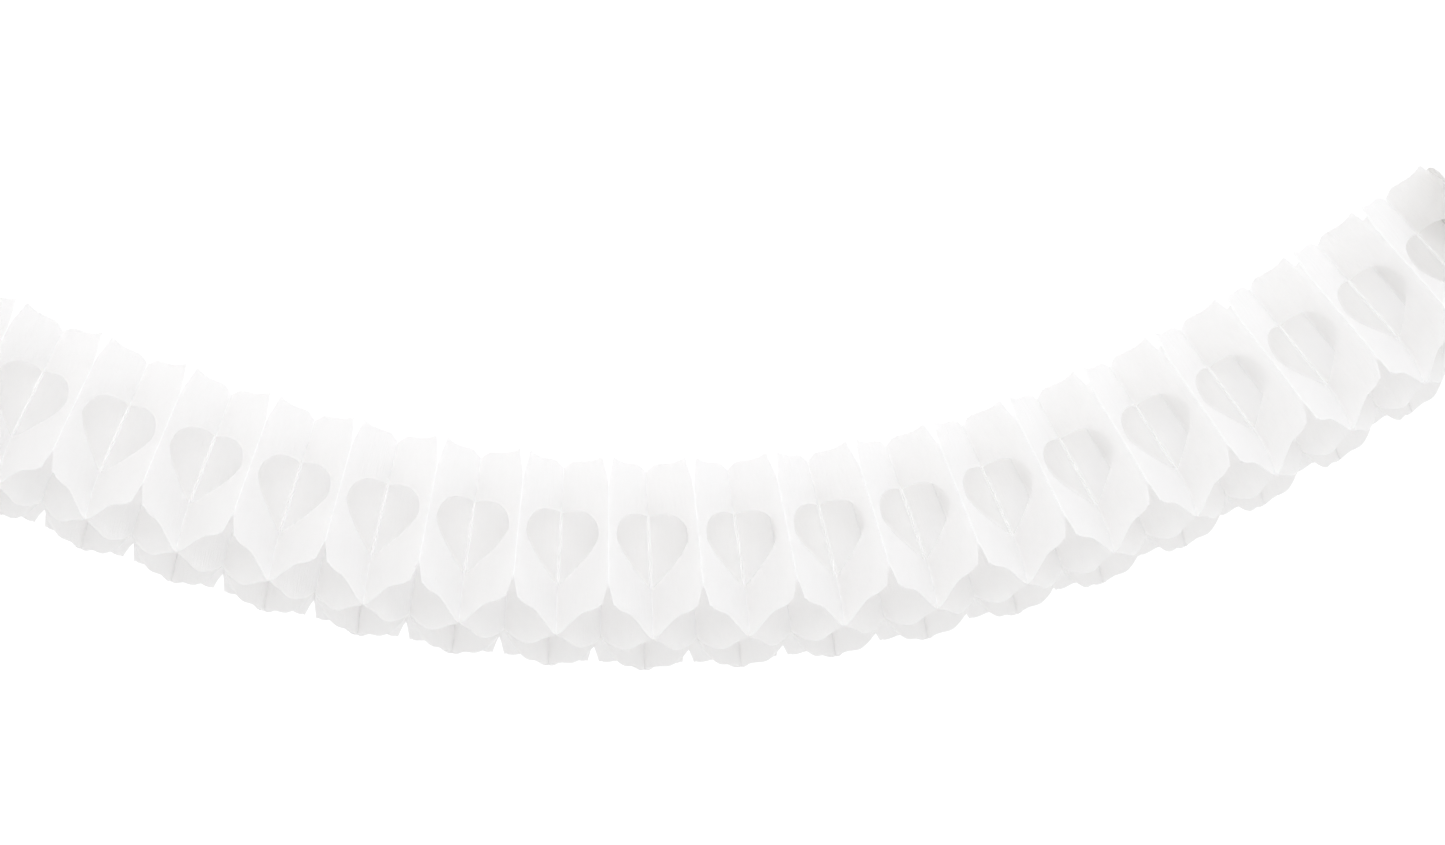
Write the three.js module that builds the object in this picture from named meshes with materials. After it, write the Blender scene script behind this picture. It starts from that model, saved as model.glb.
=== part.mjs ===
// Honeycomb paper garland with heart cut-outs, hung as a swag between two end cards.
// Millimetres, +Z up. X runs along the swag, Y away from the viewer.
// The origin is the middle of the left end card's outer face.
//
// The garland is a stack of alike die-cut tissue sheets. Each sheet is glued to one neighbour
// along its near rim, its middle and its far rim, and to the other along two seams halfway
// between them. Pulled apart, every sheet becomes a zigzag, and two of them make one cell.
// A half heart is cut beside each seam, so that two sheets show a whole heart across it.
import * as THREE from 'three';

// The stack and how far it is pulled open.
const cellCount = 19;             // two sheets make a cell, with one heart on either side
const sectionWidth = 46;          // flat width of the tissue from one glue line to the next
const openShare = 0.782609;       // of that width, along the swag in its middle: half a cell
const halfHeight = 78.5;          // the sheet reaches about this far above and below its middle
const tissueThickness = 0.4;      // tissue with its crepe, as thick as it can be handled here
const glueGap = 0.3;              // room for the glue between two sheets

// The swag: how far its cells are pulled open, how they turn and how the paper hangs.
const endStretchShare = 0.062;    // the end cells carry the others and are pulled open further
const levelShare = 0.41895;       // where along the cells the swag is level
const turnPerCell = 4.82;         // degrees
const turnGrowth = 0.106;         // degrees per cell, squared: the right end climbs more steeply
const turnEasing = -0.0199;       // degrees per cell, cubed: both ends run straighter
const droopStart = 30;            // below the sheet's middle, where it starts to hang down
const droopReach = 17;            // how far the lower edge of an upended sheet would hang over

// The half heart beside each seam.
const seamStripWidth = 1.6;       // glued strip that stays beside the seam
const heartMargin = 10;           // from the widest place of a lobe to the rim
const heartTop = 34;              // above the sheet's middle
const heartWaist = 5;             // height of the widest place
const heartTip = 30.5;            // below the sheet's middle
const lobePower = 2.6;            // how full the lobes' tops are: 2 would make them ellipses
const sidePower = 1.15;           // how the lower sides leave the widest place
const tipPower = 0.75;            // and how they run down to the tip: 1 would be straight

// The end cards.
const cardThickness = 1.2;
const cardMargin = 4;             // beyond the outermost glue lines
const cardHeight = 140;
const cardCornerRadius = 14;
const cardCornerSteps = 6;

// The die-cut edge, as pairs: place across the sheet, 0 in the middle, 1 on a seam and 2 on a rim,
// and height as a share of halfHeight.
const lowerEdgeShares = [
  [0, 0.75], [0.25, 0.92], [0.5, 0.99], [0.75, 0.985], [1, 0.94],
  [1.2, 0.85], [1.36, 0.75], [1.6, 0.735], [1.87, 0.7],
];
const upperEdgeShares = [
  [0, 0.78], [0.25, 0.9], [0.5, 0.95], [0.75, 0.96], [1, 0.945],
  [1.2, 0.985], [1.36, 0.97], [1.6, 0.94], [1.87, 0.95],
];
const lowerGlueEndShare = 0.5;    // the rims are glued together between these two heights
const upperGlueEndShare = 0.67;
const seamShare = 1;              // the seam's and the rim's places in those pairs
const rimCornerShare = 1.87;      // where the free corner of a rim stands
const rimShare = 2;
const middleShares = [0, 0.25, 0.5, 0.75, 1];
const heartShares = [0.22, 0.45, 0.72, 0.91];

// What follows from those sizes.
const sheetCount = 2 * cellCount;
const halfPitch = sectionWidth * openShare;
const sectionDepth = Math.sqrt(sectionWidth ** 2 - halfPitch ** 2);
const axialThickness = tissueThickness * sectionWidth / sectionDepth;
const glueStandoff = (axialThickness + glueGap) / 2;
const heartReach = sectionWidth - heartMargin;

const paper = new THREE.MeshStandardMaterial({ color: 0xf6f4f1, roughness: 0.85, metalness: 0 });
const card = new THREE.MeshStandardMaterial({ color: 0xf1eeea, roughness: 0.75, metalness: 0 });

// A unit vector along the swag where it has this turn.
function along(turn) {
  return new THREE.Vector3(Math.cos(turn), 0, Math.sin(turn));
}

// A frame with X along the swag, Y across it and Z up in the glue plane.
function turnedFrame(place, turn) {
  const frame = new THREE.Matrix4().makeRotationY(-turn);
  return frame.setPosition(place);
}

// Half a cell's length at a place that is counted in sheets from the left end.
function halfPitchAt(place) {
  const fromMiddle = (place - cellCount) / cellCount;
  return halfPitch * (1 + endStretchShare * fromMiddle * fromMiddle);
}

// Glue plane number j at a place. Even planes join the rims and middles, odd ones the seams.
// Where the cells are pulled open further, the sheets lie less deep.
function gluePlane(j, place) {
  const cells = j / 2 - levelShare * cellCount;
  const turn = THREE.MathUtils.degToRad(
    turnPerCell * cells + turnGrowth * cells ** 2 + turnEasing * cells ** 3);
  const depth = Math.sqrt(sectionWidth ** 2 - halfPitchAt(j) ** 2);
  const heldByCard = j === 0 || j === sheetCount;
  return {
    turn,
    place: place.clone(),
    frame: turnedFrame(place, turn),
    depthShare: depth / sectionDepth,
    droop: heldByCard ? 0 : -droopReach * Math.sin(turn),
  };
}

// All glue planes, from the left end card to the right one.
function gluePlanes() {
  const first = gluePlane(0, new THREE.Vector3());
  const place = along(first.turn).multiplyScalar(cardThickness + glueGap / 2);
  const planes = [gluePlane(0, place)];
  for (let j = 1; j <= sheetCount; j += 1) {
    const turn = (planes[j - 1].turn + gluePlane(j, place).turn) / 2;
    place.addScaledVector(along(turn), halfPitchAt(j - 1 / 2));
    planes.push(gluePlane(j, place));
  }
  return planes;
}

// A point of the flat net, where a glue plane holds it.
function onPlane(plane, { depth, height }) {
  const below = Math.max(0, -height - droopStart) / (halfHeight - droopStart);
  return new THREE.Vector3(plane.droop * below * below, depth * plane.depthShare, height);
}

// The height of a die-cut edge at a place across the sheet.
function edgeHeight(shares, across) {
  const after = shares.findIndex(([place]) => place >= across);
  const [place, share] = shares[after];
  if (after === 0) return share * halfHeight;
  const [placeBefore, shareBefore] = shares[after - 1];
  const blend = (across - placeBefore) / (place - placeBefore);
  return (shareBefore + blend * (share - shareBefore)) * halfHeight;
}

// Upper and lower edge of the half heart, at a share of its reach from the seam.
function heartEdges(share) {
  const upper = heartWaist + (heartTop - heartWaist) * Math.sqrt(1 - share ** lobePower);
  const lower = heartWaist - (heartWaist + heartTip) * (1 - share ** sidePower) ** tipPower;
  return [lower, upper];
}

// The sheet as a flat net of triangles over depth and height. Each point also says how far
// it lies from the rim plane to the seam plane, from 0 to 1.
function flatNet() {
  const points = [];
  const triangles = [];
  const known = new Map();

  function point(across, side, height) {
    const depth = side * across * sectionDepth;
    const key = `${depth.toFixed(4)} ${height.toFixed(4)}`;
    if (!known.has(key)) {
      known.set(key, points.length);
      points.push({ depth, height, toSeam: 1 - Math.abs(across - seamShare) });
    }
    return known.get(key);
  }

  function fill(corners) {
    const contour = corners.map((id) => new THREE.Vector2(points[id].depth, points[id].height));
    for (const [a, b, c] of THREE.ShapeUtils.triangulateShape(contour, [])) {
      const turn = new THREE.Vector2().subVectors(contour[b], contour[a])
        .cross(new THREE.Vector2().subVectors(contour[c], contour[a]));
      const face = [corners[a], corners[b], corners[c]];
      triangles.push(turn > 0 ? face : face.reverse());
    }
  }

  for (const side of [-1, 1]) {
    const low = (across) => point(across, side, -edgeHeight(lowerEdgeShares, across));
    const high = (across) => point(across, side, edgeHeight(upperEdgeShares, across));

    // From the middle glue line to the seam.
    for (let i = 1; i < middleShares.length; i += 1) {
      const from = middleShares[i - 1];
      const to = middleShares[i];
      fill([low(from), low(to), high(to), high(from)]);
    }

    // The glued strip beside the seam, as far as the straight side of the half heart.
    const stripEnd = seamShare + seamStripWidth / sectionWidth;
    const stripShare = seamStripWidth / heartReach;
    const place = (share) => seamShare + share * heartReach / sectionWidth;
    let before = heartEdges(stripShare).map((height) => point(stripEnd, side, height));
    fill([low(seamShare), low(stripEnd), ...before, high(stripEnd), high(seamShare)]);

    // Above and below the half heart.
    let from = stripEnd;
    for (const share of heartShares) {
      const to = place(share);
      const here = heartEdges(share).map((height) => point(to, side, height));
      fill([low(from), low(to), here[0], before[0]]);
      fill([before[1], here[1], high(to), high(from)]);
      before = here;
      from = to;
    }
    const widest = place(1);
    const waist = point(widest, side, heartWaist);
    fill([low(from), low(widest), waist, before[0]]);
    fill([before[1], waist, high(widest), high(from)]);

    // The rim, glued between its two slits.
    const glueLow = point(rimShare, side, -lowerGlueEndShare * halfHeight);
    const glueHigh = point(rimShare, side, upperGlueEndShare * halfHeight);
    fill([low(widest), low(rimCornerShare), glueLow, glueHigh, high(rimCornerShare),
      high(widest), waist]);
  }
  return { points, triangles };
}

// A closed thin sheet from the flat net, folded between two glue planes.
function sheetGeometry(net, rimPlane, seamPlane) {
  const positions = [];
  for (const face of [1, -1]) {
    for (const point of net.points) {
      const atRim = onPlane(rimPlane, point).applyMatrix4(rimPlane.toSheet);
      const atSeam = onPlane(seamPlane, point).applyMatrix4(seamPlane.toSheet);
      const reach = atRim.distanceTo(atSeam);
      const share = (glueStandoff + point.toSeam * (reach - 2 * glueStandoff)) / reach;
      const place = atRim.lerp(atSeam, share);
      positions.push(place.x + face * axialThickness / 2, place.y, place.z);
    }
  }
  const count = net.points.length;
  const index = [];
  const edges = new Map();
  for (const [a, b, c] of net.triangles) {
    index.push(a, b, c, a + count, c + count, b + count);
    for (const [p, q] of [[a, b], [b, c], [c, a]]) edges.set(`${p} ${q}`, [p, q]);
  }
  for (const [p, q] of edges.values()) {
    if (edges.has(`${q} ${p}`)) continue;
    index.push(q, p, p + count, q, p + count, q + count);
  }
  const geometry = new THREE.BufferGeometry();
  geometry.setAttribute('position', new THREE.Float32BufferAttribute(positions, 3));
  geometry.setIndex(index);
  return geometry;
}

// One tissue sheet, placed midway between its two glue planes.
function tissueSheet(number, net, planes) {
  const [left, right] = [planes[number - 1], planes[number]];
  const turn = (left.turn + right.turn) / 2;
  const middle = left.place.clone().lerp(right.place, 1 / 2);
  const intoSheet = turnedFrame(middle, turn).invert();
  const held = [left, right].map((plane) => (
    { ...plane, toSheet: intoSheet.clone().multiply(plane.frame) }));
  const [rimPlane, seamPlane] = number % 2 === 1 ? held : held.reverse();
  const sheet = new THREE.Mesh(sheetGeometry(net, rimPlane, seamPlane), paper);
  sheet.name = `sheet_${String(number).padStart(2, '0')}`;
  sheet.position.copy(middle);
  sheet.rotation.y = -turn;
  return sheet;
}

// A stiff card with round corners, glued flat on the three outer glue lines of an end sheet.
function endCard(name, plane, outward) {
  const y = rimShare * sectionDepth * plane.depthShare + cardMargin;
  const z = cardHeight / 2;
  const r = cardCornerRadius;
  const outline = new THREE.Shape();
  outline.moveTo(-y + r, -z);
  outline.lineTo(y - r, -z);
  outline.absarc(y - r, -z + r, r, -Math.PI / 2, 0);
  outline.absarc(y - r, z - r, r, 0, Math.PI / 2);
  outline.absarc(-y + r, z - r, r, Math.PI / 2, Math.PI);
  outline.absarc(-y + r, -z + r, r, Math.PI, 3 * Math.PI / 2);
  const geometry = new THREE.ExtrudeGeometry(outline,
    { depth: cardThickness, bevelEnabled: false, curveSegments: cardCornerSteps });
  const upright = new THREE.Matrix4().makeBasis(
    new THREE.Vector3(0, 1, 0), new THREE.Vector3(0, 0, 1), new THREE.Vector3(1, 0, 0));
  geometry.applyMatrix4(upright);
  geometry.translate(outward > 0 ? glueGap / 2 : -glueGap / 2 - cardThickness, 0, 0);
  const mesh = new THREE.Mesh(geometry, card);
  mesh.name = name;
  mesh.position.copy(plane.place);
  mesh.rotation.y = -plane.turn;
  return mesh;
}

const garland = new THREE.Group();
const planes = gluePlanes();
const net = flatNet();
garland.add(endCard('end_card_left', planes[0], -1));
for (let number = 1; number <= sheetCount; number += 1) {
  garland.add(tissueSheet(number, net, planes));
}
garland.add(endCard('end_card_right', planes[sheetCount], 1));

export default garland;
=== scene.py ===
"""Honeycomb paper garland with heart cut-outs, hung as a swag between two end cards."""
import math

import bpy
import numpy as np
from mathutils import Euler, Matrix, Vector, noise


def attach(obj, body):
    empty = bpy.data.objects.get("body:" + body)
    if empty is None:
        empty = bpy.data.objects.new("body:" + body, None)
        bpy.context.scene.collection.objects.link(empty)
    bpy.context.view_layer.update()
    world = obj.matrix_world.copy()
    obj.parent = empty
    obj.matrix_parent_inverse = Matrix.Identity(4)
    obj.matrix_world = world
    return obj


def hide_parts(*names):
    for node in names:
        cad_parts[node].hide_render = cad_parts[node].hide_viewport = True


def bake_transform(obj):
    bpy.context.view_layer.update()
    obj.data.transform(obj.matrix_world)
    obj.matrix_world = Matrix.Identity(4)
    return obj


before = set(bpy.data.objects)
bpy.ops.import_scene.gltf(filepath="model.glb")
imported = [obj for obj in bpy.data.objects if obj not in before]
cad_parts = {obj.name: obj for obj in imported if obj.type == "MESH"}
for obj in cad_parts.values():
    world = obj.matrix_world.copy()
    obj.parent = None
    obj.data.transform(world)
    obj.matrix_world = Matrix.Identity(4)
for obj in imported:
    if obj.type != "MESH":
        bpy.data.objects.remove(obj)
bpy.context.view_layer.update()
bpy.ops.object.select_all(action="DESELECT")


# The tissue sheets: how they hang
# Sheets of thin tissue are glued to each other on planes half a cell apart, on even planes along
# both rims and the middle and on odd ones along two seams halfway between, and pulled apart. The
# garland hangs between its ends, so its cells turn and open a little differently along the way.
CELLS = 19
SHEETS = 2 * CELLS
SECTION = 0.046                   # flat width of the tissue between two glue lines
OPEN_SHARE = 0.782609             # of that width, along the swag in its middle
END_STRETCH = 0.062               # the end cells are pulled open further by this share
LEVEL = 0.41895 * CELLS           # cells from the left end to where the swag is level
TURN_PER_CELL = 4.82              # degrees, with two smaller terms for the swag's true curve
TURN_GROWTH = 0.106
TURN_EASING = -0.0199
HALF_HEIGHT = 0.0785              # the sheet reaches about this far above and below its middle
DROOP_START = 0.030               # below the middle, where the paper starts to hang down
DROOP_REACH = 0.017
CARD_THICKNESS = 0.0012           # the left end card stands before the first glue plane
GLUE_GAP = 0.0003
DEPTH = SECTION * math.sqrt(1 - OPEN_SHARE ** 2)


def half_pitch(place):
    """Half a cell's length at a place counted in sheets from the left end."""
    from_middle = (place - CELLS) / CELLS
    return SECTION * OPEN_SHARE * (1 + END_STRETCH * from_middle ** 2)


def turn_at(plane):
    """How far a glue plane leans from upright, in radians."""
    cells = plane / 2 - LEVEL
    return math.radians(TURN_PER_CELL * cells + TURN_GROWTH * cells ** 2 + TURN_EASING * cells ** 3)


def along(turn):
    """The direction that leads square through a glue plane, to the right."""
    return np.array([math.cos(turn), 0.0, math.sin(turn)])


plane_places = [along(turn_at(0)) * (CARD_THICKNESS + GLUE_GAP / 2)]
for plane in range(1, SHEETS + 1):
    step = along((turn_at(plane - 1) + turn_at(plane)) / 2) * half_pitch(plane - 0.5)
    plane_places.append(plane_places[-1] + step)


def on_plane(plane, across, height):
    """Where a glue plane holds points of the flat sheet. across is -2 at the near rim, 2 behind."""
    turn = turn_at(plane)
    held_by_card = plane in (0, SHEETS)
    droop = 0.0 if held_by_card else -DROOP_REACH * math.sin(turn)
    below = np.maximum(0, -height - DROOP_START) / (HALF_HEIGHT - DROOP_START)
    forward = droop * below ** 2
    depth = across * math.sqrt(SECTION ** 2 - half_pitch(plane) ** 2)
    up = np.array([-math.sin(turn), 0.0, math.cos(turn)])
    return (plane_places[plane] + forward[:, None] * along(turn) + height[:, None] * up
            + depth[:, None] * np.array([0.0, 1.0, 0.0]))


# The tissue sheets: how they are cut
# All are cut alike with one die, out of flat crepe tissue: a wavy top and bottom edge, half a heart
# beside each seam, and corners drawn in at the rims, which aren't glued there.
SEAM_STRIP = 0.0016               # glued strip that stays between a seam and its half heart
HEART_REACH = SECTION - 0.010
HEART_TOP = 0.034
HEART_WAIST = 0.005
HEART_TIP = -0.0305
LOBE_POWER = 2.6                  # how full the heart's lobe and its lower side are drawn
SIDE_POWER = 1.15
TIP_POWER = 0.75
RIM_GLUE_LOW = -0.5 * HALF_HEIGHT
RIM_GLUE_HIGH = 0.67 * HALF_HEIGHT
RIM = 2                           # across the sheet, where the rim is glued
RIM_CORNER = 1.87                 # and where its free corners stand
CORNER_POWER = 0.8
# Both edges as (across, share of HALF_HEIGHT), from the middle of the sheet to the rim's corner.
LOWER_EDGE = [(0, 0.75), (0.25, 0.89), (0.5, 0.97), (0.75, 0.94), (1, 0.93), (1.12, 0.915),
              (1.25, 0.86), (1.38, 0.8), (1.5, 0.755), (1.7, 0.74), (1.87, 0.71)]
UPPER_EDGE = [(0, 0.78), (0.25, 0.9), (0.5, 0.95), (0.75, 0.96), (1, 0.945),
              (1.2, 0.985), (1.36, 0.97), (1.6, 0.94), (1.87, 0.95)]
COLUMNS_INSIDE = 22               # from the middle glue line to a seam
COLUMNS_HEART = 22
COLUMNS_RIM = 8
ROWS_BELOW = 11                   # below the heart, beside it and above it
ROWS_HEART = 14
ROWS_ABOVE = 10
HEART_END = ROWS_BELOW + ROWS_HEART
ROWS = HEART_END + ROWS_ABOVE


def edge_height(edge, across):
    """A smooth curve through a die-cut edge's places."""
    xs = [place for place, share in edge]
    ys = [share * HALF_HEIGHT for place, share in edge]
    across = min(abs(across), xs[-1])
    slopes = [(ys[1] - ys[0]) / (xs[1] - xs[0])]
    for i in range(1, len(xs) - 1):
        slopes.append((ys[i + 1] - ys[i - 1]) / (xs[i + 1] - xs[i - 1]))
    slopes.append((ys[-1] - ys[-2]) / (xs[-1] - xs[-2]))
    i = next(i for i in range(1, len(xs)) if across <= xs[i])
    width = xs[i] - xs[i - 1]
    t = (across - xs[i - 1]) / width
    return ((2 * t ** 3 - 3 * t ** 2 + 1) * ys[i - 1]
            + (t ** 3 - 2 * t ** 2 + t) * width * slopes[i - 1]
            + (3 * t ** 2 - 2 * t ** 3) * ys[i] + (t ** 3 - t ** 2) * width * slopes[i])


def heart_edges(share):
    """Lower and upper edge of the half heart at a share of its reach from the seam."""
    lobe = math.sqrt(max(0, 1 - share ** LOBE_POWER))
    side = max(0, 1 - share ** SIDE_POWER) ** TIP_POWER
    return (HEART_WAIST - (HEART_WAIST - HEART_TIP) * side,
            HEART_WAIST + (HEART_TOP - HEART_WAIST) * lobe)


def rim_edge(height, low, high):
    """How far across the rim lies at a height: fully where it is glued, drawn in at its corners."""
    if height < RIM_GLUE_LOW:
        away = (RIM_GLUE_LOW - height) / (RIM_GLUE_LOW - low)
    elif height > RIM_GLUE_HIGH:
        away = (height - RIM_GLUE_HIGH) / (high - RIM_GLUE_HIGH)
    else:
        away = 0
    return RIM - (RIM - RIM_CORNER) * away ** CORNER_POWER


def spread(start, end, count):
    """Even places from the start up to the end, without it."""
    return [start + (end - start) * i / count for i in range(count)]


def eased(start, end, count):
    """Places that lie closer together towards the end."""
    return [start + (end - start) * math.sin(math.pi / 2 * i / count) for i in range(count)]


# The net is made column by column from the middle of the sheet to a rim, once for each half.
# A column beside a heart has two runs of points, below and above the cut.
STRIP_END = 1 + SEAM_STRIP / SECTION
WIDEST = 1 + HEART_REACH / SECTION
strip_low, strip_high = heart_edges(SEAM_STRIP / HEART_REACH)
columns = spread(0, 1, COLUMNS_INSIDE) + [1, STRIP_END]
columns += eased(STRIP_END, WIDEST, COLUMNS_HEART)[1:] + spread(WIDEST, RIM, COLUMNS_RIM) + [RIM]


def column_heights(across):
    """The heights of a column's rows as (row, height) pairs, and its lowest and highest point."""
    low = -edge_height(LOWER_EDGE, across)
    high = edge_height(UPPER_EDGE, across)
    if across <= STRIP_END:
        heart_low, heart_high = strip_low, strip_high
    else:
        heart_low, heart_high = heart_edges(min(1, (across - 1) * SECTION / HEART_REACH))
    rows = list(enumerate(spread(low, heart_low, ROWS_BELOW) + [heart_low]))
    if across <= STRIP_END:
        beside = spread(heart_low, heart_high, ROWS_HEART)
        rows += [(ROWS_BELOW + i, beside[i]) for i in range(1, ROWS_HEART)]
    above = spread(heart_high, high, ROWS_ABOVE) + [high]
    first = 1 if across >= WIDEST else 0      # past the heart both runs meet in one point
    rows += [(HEART_END + i, above[i]) for i in range(first, ROWS_ABOVE + 1)]
    return rows, low, high


net_points = []
ids = {}
for side in (-1, 1):
    for c, across in enumerate(columns):
        if side == -1 and c == 0:
            continue
        rows, low, high = column_heights(across)
        towards_rim = (across - WIDEST) / (RIM - WIDEST)
        for row, height in rows:
            place = across
            if towards_rim > 0:
                place = WIDEST + towards_rim * (rim_edge(height, low, high) - WIDEST)
            ids[side, c, row] = len(net_points)
            net_points.append((side * place, height))
for row in range(ROWS + 1):
    ids[-1, 0, row] = ids[1, 0, row]          # both halves share the middle column

net_faces = []
for side in (-1, 1):
    for c in range(len(columns) - 1):
        for row in range(ROWS):
            corners = [(side, c, row), (side, c + 1, row),
                       (side, c + 1, row + 1), (side, c, row + 1)]
            if row == HEART_END:
                corners[:2] = [key if key in ids else (side, key[1], ROWS_BELOW)
                               for key in corners[:2]]
            if all(key in ids for key in corners):
                face = [ids[key] for key in corners]
                net_faces.append(face if side == 1 else face[::-1])
net = np.array(net_points)


# The tissue sheets: their paper
# Thin white crepe tissue that glows where light passes through it. Its crepe runs up and down the
# sheet in fine ridges, and loose fibres make it a little cloudy; its colour is also painted darker
# in the crepe's low places, as painted shade there. Where two sheets are glued it is denser, so it
# sends back more of the light from in front and lets less through.
TISSUE_COLOUR = (0.981, 0.98, 0.985, 1)
# the darker white: cloudy fibres, and painted shade in the crepe's low places
TISSUE_SHADE = (0.921, 0.92, 0.925, 1)
TISSUE_THROUGH = (0.992, 0.989, 0.985, 1)
GLUED_TINT = (1, 0.998, 0.992, 1)
THROUGH_SHARE = 0.82              # of the light goes through one paper
GLUED_SHARE = 0.48                # and through the two of a glue line
GLUE_WIDTH = 0.0020
FLAT_UV = "flat"                  # places on the flat sheet, in metres
CREPE_RIDGES = 900                # a metre
CREPE_RUN = 14                    # how many times longer than wide a ridge is
CREPE_HEIGHT = 0.0005
TISSUE_CLOUDS = 130               # a metre
TISSUE_FIBRES = 2400
FIBRE_RELIEF = 0.35               # height of the fibres beside that of the crepe


def add_node(tree, kind, values=(), **settings):
    """A shader node with its settings, and values on its named or numbered sockets."""
    node = tree.nodes.new(kind)
    for name, value in settings.items():
        setattr(node, name, value)
    for socket, value in values:
        node.inputs[socket].default_value = value
    return node


def add_ramp(tree, dark_at, dark, light_at, light):
    """A colour ramp between two colours."""
    ramp = add_node(tree, "ShaderNodeValToRGB")
    for element, place, colour in zip(ramp.color_ramp.elements, (dark_at, light_at), (dark, light)):
        element.position = place
        element.color = colour
    return ramp


def paper_grain_group():
    """Cloudy fibres and the height of a fine grain, for the tissue and for the cards."""
    group = bpy.data.node_groups.new("paper_grain", "ShaderNodeTree")
    for name, kind in (("Place", "NodeSocketVector"), ("Cloud Scale", "NodeSocketFloat"),
                       ("Grain Scale", "NodeSocketFloat")):
        group.interface.new_socket(name, in_out="INPUT", socket_type=kind)
    for name in ("Cloud", "Height"):
        group.interface.new_socket(name, in_out="OUTPUT", socket_type="NodeSocketFloat")
    inside = group.nodes.new("NodeGroupInput")
    outside = group.nodes.new("NodeGroupOutput")
    cloud = add_node(group, "ShaderNodeTexNoise", [("Detail", 5), ("Roughness", 0.62)])
    grain = add_node(group, "ShaderNodeTexNoise", [("Detail", 3), ("Roughness", 0.55)])
    for noise_node, scale, result in ((cloud, "Cloud Scale", "Cloud"),
                                      (grain, "Grain Scale", "Height")):
        group.links.new(inside.outputs["Place"], noise_node.inputs["Vector"])
        group.links.new(inside.outputs[scale], noise_node.inputs["Scale"])
        group.links.new(noise_node.outputs["Fac"], outside.inputs[result])
    return group


paper_grain = paper_grain_group()


def tissue_material():
    """White tissue with crepe ridges and cloudy fibres, which lets light through."""
    material = bpy.data.materials.new("crepe_tissue")
    material.use_nodes = True
    tree = material.node_tree
    link = tree.links.new
    surface = tree.nodes["Principled BSDF"]
    surface.inputs["Roughness"].default_value = 0.82
    surface.inputs["Specular IOR Level"].default_value = 0.25
    surface.inputs["Sheen Weight"].default_value = 0.15
    flat = add_node(tree, "ShaderNodeUVMap", uv_map=FLAT_UV)
    # Crepe: ridges across the flat width, broken up along their length.
    ridges = add_node(tree, "ShaderNodeMapping",
                      [("Scale", (CREPE_RIDGES, CREPE_RIDGES / CREPE_RUN, 1))])
    link(flat.outputs["UV"], ridges.inputs["Vector"])
    crepe = add_node(tree, "ShaderNodeTexNoise", [("Scale", 1), ("Detail", 4), ("Distortion", 0.4)])
    link(ridges.outputs["Vector"], crepe.inputs["Vector"])
    grain = add_node(tree, "ShaderNodeGroup",
                     [("Cloud Scale", TISSUE_CLOUDS), ("Grain Scale", TISSUE_FIBRES)],
                     node_tree=paper_grain)
    link(flat.outputs["UV"], grain.inputs["Place"])
    # Glue lines every section: the distance to the nearest one, across the flat sheet.
    parts = add_node(tree, "ShaderNodeSeparateXYZ")
    link(flat.outputs["UV"], parts.inputs["Vector"])
    distance = add_node(tree, "ShaderNodeMath", [(1, SECTION / 2)], operation="PINGPONG")
    link(parts.outputs["X"], distance.inputs[0])
    glued = add_node(tree, "ShaderNodeMapRange", [("From Min", GLUE_WIDTH / 2),
                                                  ("From Max", GLUE_WIDTH),
                                                  ("To Min", 1), ("To Max", 0)])
    link(distance.outputs["Value"], glued.inputs["Value"])
    # Colour: between the two whites with the cloudy fibres, and painted shade darker in the crepe's
    # low places; a little warmer at the glue.
    clouds_and_crepe_shade = add_node(tree, "ShaderNodeMix", [("Factor", 0.5)], data_type="FLOAT")
    link(grain.outputs["Cloud"], clouds_and_crepe_shade.inputs[2])
    link(crepe.outputs["Fac"], clouds_and_crepe_shade.inputs[3])
    ramp = add_ramp(tree, 0.32, TISSUE_SHADE, 0.62, TISSUE_COLOUR)
    link(clouds_and_crepe_shade.outputs[0], ramp.inputs["Fac"])
    tinted = add_node(tree, "ShaderNodeMix", [("B", GLUED_TINT)],
                      data_type="RGBA", blend_type="MULTIPLY")
    link(glued.outputs["Result"], tinted.inputs["Factor"])
    link(ramp.outputs["Color"], tinted.inputs["A"])
    link(tinted.outputs["Result"], surface.inputs["Base Color"])
    # Relief: the crepe's ridges and the finer fibres.
    relief = add_node(tree, "ShaderNodeMath", [(1, FIBRE_RELIEF)], operation="MULTIPLY_ADD")
    link(grain.outputs["Height"], relief.inputs[0])
    link(crepe.outputs["Fac"], relief.inputs[2])
    bump = add_node(tree, "ShaderNodeBump", [("Strength", 0.7), ("Distance", CREPE_HEIGHT)])
    link(relief.outputs["Value"], bump.inputs["Height"])
    link(bump.outputs["Normal"], surface.inputs["Normal"])
    # Light through the paper.
    through = add_node(tree, "ShaderNodeBsdfTranslucent", [("Color", TISSUE_THROUGH)])
    link(bump.outputs["Normal"], through.inputs["Normal"])
    share = add_node(tree, "ShaderNodeMapRange",
                     [("To Min", THROUGH_SHARE), ("To Max", GLUED_SHARE)])
    link(glued.outputs["Result"], share.inputs["Value"])
    both = add_node(tree, "ShaderNodeMixShader")
    link(share.outputs["Result"], both.inputs["Fac"])
    link(surface.outputs["BSDF"], both.inputs[1])
    link(through.outputs["BSDF"], both.inputs[2])
    link(both.outputs["Shader"], tree.nodes["Material Output"].inputs["Surface"])
    return material


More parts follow.
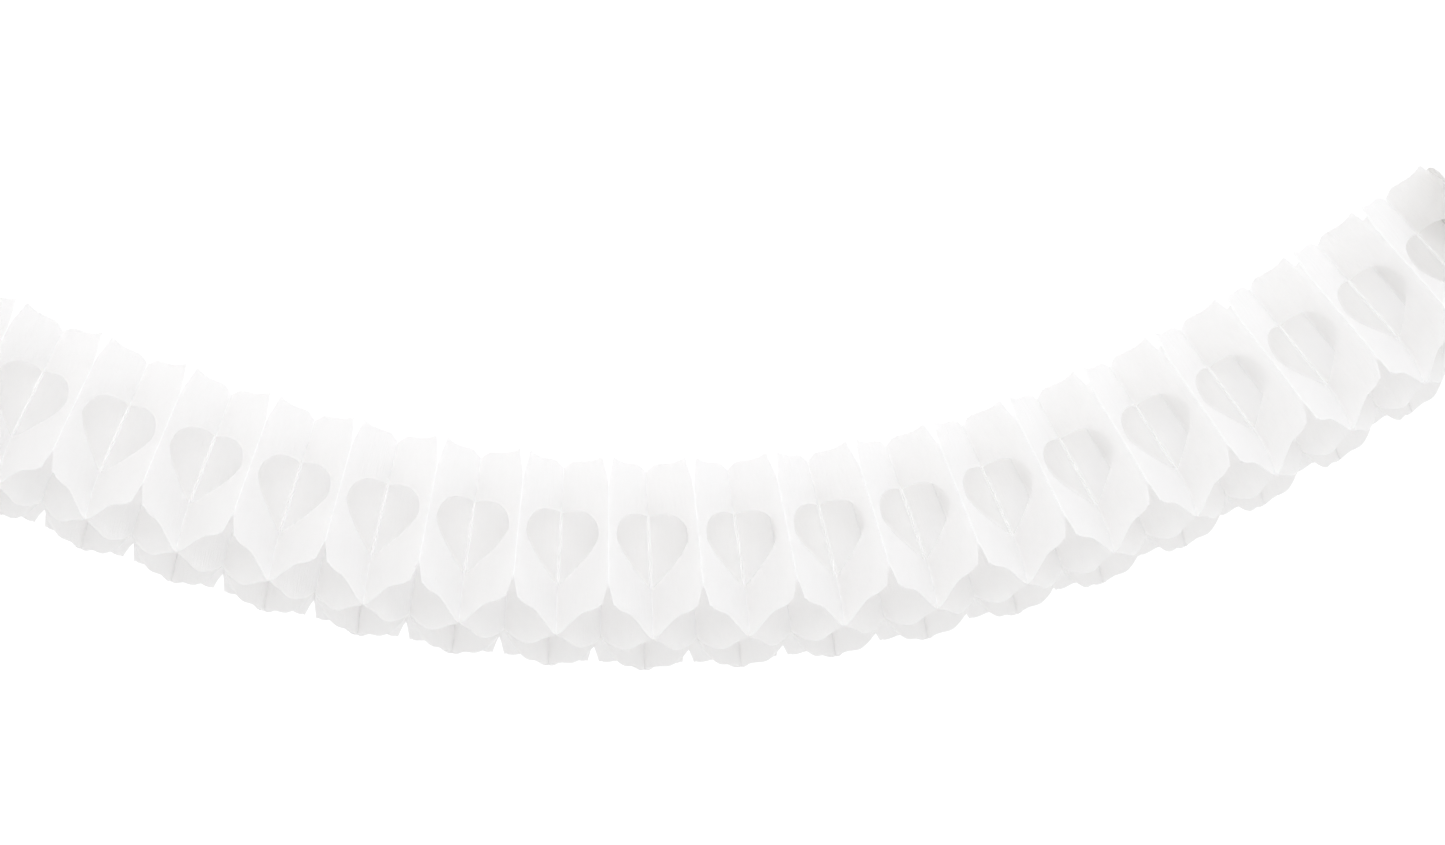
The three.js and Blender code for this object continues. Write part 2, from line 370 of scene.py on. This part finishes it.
# The tissue sheets: how they are folded
# Each is folded between its two glue planes. The paper leaves a glue line flat against its
# neighbour before it turns away, and it is a little wavy, most of all at its free edges.
TISSUE_THICKNESS = 0.0001
TISSUE_STANDOFF = 0.000052        # of the paper's middle from the glue plane
LEAVING = 0.22                    # how softly the paper leaves a glue line: 0 is a sharp fold
CORNER_FLARE = 0.05               # the unglued rim corners stand away, as a share of the run
WAVE = 0.001                      # of the paper's surface, at most
WAVE_SCALE = 26                   # a metre across the sheet, and slower up and down it
WAVE_UPRIGHT = 0.6
WRINKLE = 0.00035
WRINKLE_SCALE = 95
WRINKLE_UPRIGHT = 0.35
WRINKLE_SEED = 5
SHEET_SEED = 17.3                 # how far apart in the noise two sheets are
CALM_MIDDLE = 0.45                # share of the waves at half height, all at the free edges
CREASE_ANGLE = math.radians(40)

tissue = tissue_material()
net_mesh = bpy.data.meshes.new("die_cut_sheet")
net_mesh.from_pydata([(x * SECTION, 0, y) for x, y in net_points], [], net_faces)
net_uv = net_mesh.uv_layers.new(name=FLAT_UV)
for loop in net_mesh.loops:
    x, y = net[loop.vertex_index]
    net_uv.data[loop.index].uv = (x * SECTION, y)
net_mesh.materials.append(tissue)


def waves(x, y, seed):
    """How far a place of the flat sheet stands off its smooth surface."""
    wave = noise.noise(Vector((x * WAVE_SCALE, y * WAVE_SCALE * WAVE_UPRIGHT, seed)))
    wrinkle = noise.noise(Vector((x * WRINKLE_SCALE, y * WRINKLE_SCALE * WRINKLE_UPRIGHT,
                                  seed + WRINKLE_SEED)))
    return WAVE * wave + WRINKLE * wrinkle


def folded(number):
    """The places of the net's points once the sheet is folded between its glue planes."""
    across, height = net[:, 0], net[:, 1]
    rim_plane, seam_plane = (number - 1, number) if number % 2 else (number, number - 1)
    at_rim = on_plane(rim_plane, across, height)
    at_seam = on_plane(seam_plane, across, height)
    run = at_seam - at_rim
    reach = np.linalg.norm(run, axis=1)
    to_seam = 1 - np.abs(np.abs(across) - 1)
    bend = (1 - LEAVING) * to_seam + LEAVING * to_seam ** 2 * (3 - 2 * to_seam)
    past_glue = np.maximum(RIM_GLUE_LOW - height, height - RIM_GLUE_HIGH)
    free = np.clip(past_glue / HALF_HEIGHT, 0, 1)
    bend = bend + CORNER_FLARE * free * np.clip(np.abs(across) - 1, 0, 1) ** 3
    share = (TISSUE_STANDOFF + bend * (reach - 2 * TISSUE_STANDOFF)) / reach
    place = at_rim + run * share[:, None]
    # Waves stand square to the section and die out at the glue lines.
    away = 4 * to_seam * (1 - to_seam)
    slack = CALM_MIDDLE + (1 - CALM_MIDDLE) * np.clip(np.abs(height) / HALF_HEIGHT, 0, 1) ** 2
    wave = np.array([waves(x * SECTION, y, SHEET_SEED * number) for x, y in net])
    square = run / reach[:, None] * DEPTH / SECTION
    square[:, 1] -= np.sign(across) * np.sign(1 - np.abs(across)) * OPEN_SHARE
    return place + (wave * away * slack)[:, None] * square


for number in range(1, SHEETS + 1):
    sheet = bpy.data.objects.new(f"tissue_{number:02d}", net_mesh.copy())
    bpy.context.scene.collection.objects.link(sheet)
    sheet.data.vertices.foreach_set("co", folded(number).astype(np.float32).ravel())
    sheet.data.update()
    bpy.context.view_layer.objects.active = sheet
    sheet.select_set(True)
    wall = sheet.modifiers.new("paper", "SOLIDIFY")
    wall.thickness = TISSUE_THICKNESS
    wall.offset = 0
    bpy.ops.object.modifier_apply(modifier=wall.name)
    bpy.ops.object.shade_smooth_by_angle(angle=CREASE_ANGLE)
    sheet.select_set(False)
    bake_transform(sheet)
    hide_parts(f"sheet_{number:02d}")


# The end cards
# A stiff white board is glued flat on the outermost sheet at either end, and the garland is
# fastened by it. It is punched out of uncoated board, with round corners and clean edges.
CARD_MARGIN = 0.004
CARD_HEIGHT = 0.140
CARD_CORNER = 0.014
CORNER_STEPS = 14
CARD_EDGE = 0.0002
EDGE_STEPS = 2
CARD_COLOUR = (0.8, 0.79, 0.775, 1)
CARD_FLECK = (0.74, 0.73, 0.71, 1)
CARD_CLOUDS = 220                 # a metre
CARD_FIBRES = 1500
CARD_RELIEF = 0.0001


def card_material():
    """Dull white board with faint flecks."""
    material = bpy.data.materials.new("white_board")
    material.use_nodes = True
    tree = material.node_tree
    link = tree.links.new
    surface = tree.nodes["Principled BSDF"]
    surface.inputs["Specular IOR Level"].default_value = 0.35
    place = add_node(tree, "ShaderNodeTexCoord")
    grain = add_node(tree, "ShaderNodeGroup",
                     [("Cloud Scale", CARD_CLOUDS), ("Grain Scale", CARD_FIBRES)],
                     node_tree=paper_grain)
    link(place.outputs["Object"], grain.inputs["Place"])
    ramp = add_ramp(tree, 0.3, CARD_FLECK, 0.55, CARD_COLOUR)
    link(grain.outputs["Cloud"], ramp.inputs["Fac"])
    link(ramp.outputs["Color"], surface.inputs["Base Color"])
    rough = add_node(tree, "ShaderNodeMapRange", [("To Min", 0.62), ("To Max", 0.8)])
    link(grain.outputs["Height"], rough.inputs["Value"])
    link(rough.outputs["Result"], surface.inputs["Roughness"])
    bump = add_node(tree, "ShaderNodeBump", [("Strength", 0.25), ("Distance", CARD_RELIEF)])
    link(grain.outputs["Height"], bump.inputs["Height"])
    link(bump.outputs["Normal"], surface.inputs["Normal"])
    return material


white_board = card_material()
for end, plane, outward, body in (("left", 0, -1, "cell_01"), ("right", SHEETS, 1, "right_end")):
    turn = turn_at(plane)
    depth = math.sqrt(SECTION ** 2 - half_pitch(plane) ** 2)
    width = 2 * (RIM * depth + CARD_MARGIN)
    middle = plane_places[plane] + along(turn) * outward * (GLUE_GAP + CARD_THICKNESS) / 2
    bpy.ops.mesh.primitive_cube_add(size=1, location=middle, rotation=(0, -turn, 0),
                                    scale=(CARD_THICKNESS, width, CARD_HEIGHT))
    board = bpy.context.object
    board.name = f"card_{end}"
    bpy.ops.object.transform_apply(location=False, rotation=False, scale=True)
    # The four short edges, which lead through the board, become its round corners.
    bpy.ops.object.mode_set(mode="EDIT")
    bpy.ops.mesh.select_mode(type="EDGE")
    bpy.ops.mesh.select_all(action="DESELECT")
    bpy.ops.object.mode_set(mode="OBJECT")
    for edge in board.data.edges:
        a, b = (board.data.vertices[i].co for i in edge.vertices)
        edge.select = abs(a.x - b.x) > CARD_THICKNESS / 2
    bpy.ops.object.mode_set(mode="EDIT")
    bpy.ops.mesh.bevel(offset=CARD_CORNER, offset_type="OFFSET", segments=CORNER_STEPS)
    bpy.ops.object.mode_set(mode="OBJECT")
    rounding = board.modifiers.new("edges", "BEVEL")
    rounding.width = CARD_EDGE
    rounding.segments = EDGE_STEPS
    rounding.limit_method = "ANGLE"
    bpy.ops.object.modifier_apply(modifier=rounding.name)
    bpy.ops.object.transform_apply(location=True, rotation=True, scale=True)
    bpy.ops.object.shade_smooth_by_angle(angle=CREASE_ANGLE)
    board.data.materials.clear()
    board.data.materials.append(white_board)
    board.select_set(False)
    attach(board, body)
    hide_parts(f"end_card_{end}")


# Floor, light and camera
# The garland hangs high over a pale floor in an even white room. A broad soft light stands to the
# right and above it, and the camera looks up at it from far in front.
FLOOR_PLACE = (0.65, 0, -9.0)     # under the middle of the garland
FLOOR_SIZE = 120.0
FLOOR_COLOUR = (0.72, 0.72, 0.72, 1)
FLOOR_ROUGHNESS = 0.9
ROOM_FRONT = 1.61                 # strength of the room's light from the front and from behind
ROOM_BACK = 0.77
ROOM_SHOWN = 1.2                  # and of the white that the camera sees
ROOM_COLOUR = (0.996, 0.996, 1, 1)
KEY_PLACE = (5.0, -3.6, 4.2)
KEY_SIZE = 3.0
KEY_POWER = 48
KEY_COLOUR = (0.66, 0.79, 1)
EYE = (-0.1498, -6.7406, -3.3761)
YAW = 6.903                       # degrees towards +X
PITCH = 26.37                     # degrees upwards
LENS = 234.97                     # millimetres, as is the sensor
SENSOR = 36
FAR_AWAY = 200                    # the camera sees as far as this

bpy.ops.mesh.primitive_plane_add(size=FLOOR_SIZE, location=FLOOR_PLACE)
floor = bpy.context.object
floor.name = "floor"
pale = bpy.data.materials.new("pale_floor")
pale.use_nodes = True
pale.node_tree.nodes["Principled BSDF"].inputs["Base Color"].default_value = FLOOR_COLOUR
pale.node_tree.nodes["Principled BSDF"].inputs["Roughness"].default_value = FLOOR_ROUGHNESS
floor.data.materials.append(pale)
floor.select_set(False)

room = bpy.data.worlds.new("white_room")
room.use_nodes = True
tree = room.node_tree
air = tree.nodes["Background"]
air.inputs["Color"].default_value = ROOM_COLOUR
direction = add_node(tree, "ShaderNodeTexCoord")
axes = add_node(tree, "ShaderNodeSeparateXYZ")
tree.links.new(direction.outputs["Generated"], axes.inputs["Vector"])
strength = add_node(tree, "ShaderNodeMapRange", [("From Min", -1), ("From Max", 1),
                                                 ("To Min", ROOM_FRONT), ("To Max", ROOM_BACK)])
tree.links.new(axes.outputs["Y"], strength.inputs["Value"])
ray = add_node(tree, "ShaderNodeLightPath")
shown = add_node(tree, "ShaderNodeMix", [(3, ROOM_SHOWN)], data_type="FLOAT")
tree.links.new(ray.outputs["Is Camera Ray"], shown.inputs[0])
tree.links.new(strength.outputs["Result"], shown.inputs[2])
tree.links.new(shown.outputs[0], air.inputs["Strength"])
bpy.context.scene.world = room

swag_middle = Vector(plane_places[CELLS])
key = bpy.data.lights.new("key_light", "AREA")
key.size = KEY_SIZE
key.energy = KEY_POWER
key.color = KEY_COLOUR
key_light = bpy.data.objects.new("key_light", key)
key_light.location = KEY_PLACE
key_light.rotation_euler = (swag_middle - Vector(KEY_PLACE)).to_track_quat("-Z", "Y").to_euler()
bpy.context.scene.collection.objects.link(key_light)

bpy.context.scene.view_settings.view_transform = "Standard"
lens = bpy.data.cameras.new("camera")
lens.lens = LENS
lens.sensor_width = SENSOR
lens.clip_end = FAR_AWAY
camera = bpy.data.objects.new("camera", lens)
camera.location = EYE
camera.rotation_euler = Euler((math.radians(90 + PITCH), 0, math.radians(-YAW)))
bpy.context.scene.collection.objects.link(camera)
bpy.context.scene.camera = camera
